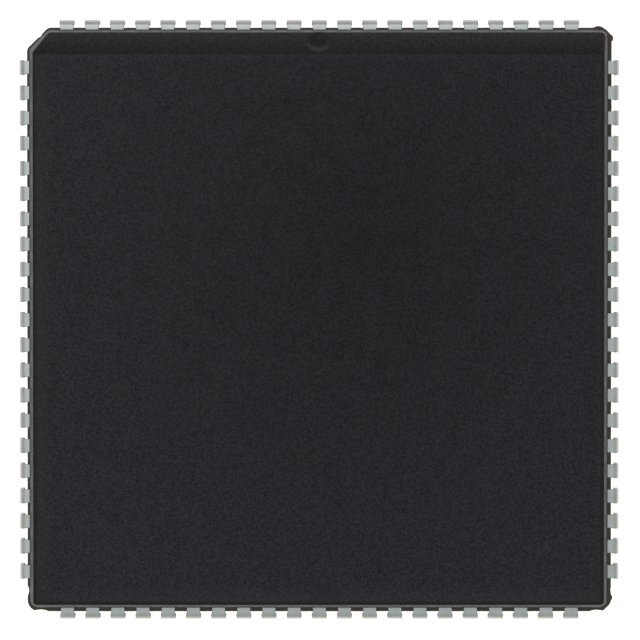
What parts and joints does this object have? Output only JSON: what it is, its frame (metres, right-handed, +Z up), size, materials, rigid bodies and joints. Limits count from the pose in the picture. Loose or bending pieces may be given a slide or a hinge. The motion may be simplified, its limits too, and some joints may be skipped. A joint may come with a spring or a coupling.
{
  "type": "plastic leaded chip carrier",
  "caption": "Square black plastic chip carrier with J-leads curled under on all four sides, a bevelled index side, an index dot and a cut-off index corner.",
  "frame": {"origin": "middle of the seating plane that the J-leads rest on, under the middle of the body", "axes": "+Z up, from the seating plane to the top face; +Y towards the side with the index bevel; +X to the right of it, with the cut-off index corner at -X, +Y"},
  "size_m": [0.0302, 0.0302, 0.0044],
  "materials": {
    "resin": "moulded black epoxy, fine matt grain",
    "plating": "satin tin-lead plating",
    "frame_metal": "bare copper alloy sheet",
    "adhesive": "cured silver-filled epoxy",
    "silicon": "polished silicon",
    "gold": "drawn gold wire"
  },
  "bodies": {
    "root": {"mould_body": "resin", "leads_north": "plating", "leads_west": "plating", "leads_south": "plating", "leads_east": "plating", "die_paddle": "frame_metal", "die_attach": "adhesive", "die": "silicon", "bond_wires_north": "gold", "bond_wires_west": "gold", "bond_wires_south": "gold", "bond_wires_east": "gold"}
  },
  "joints": []
}
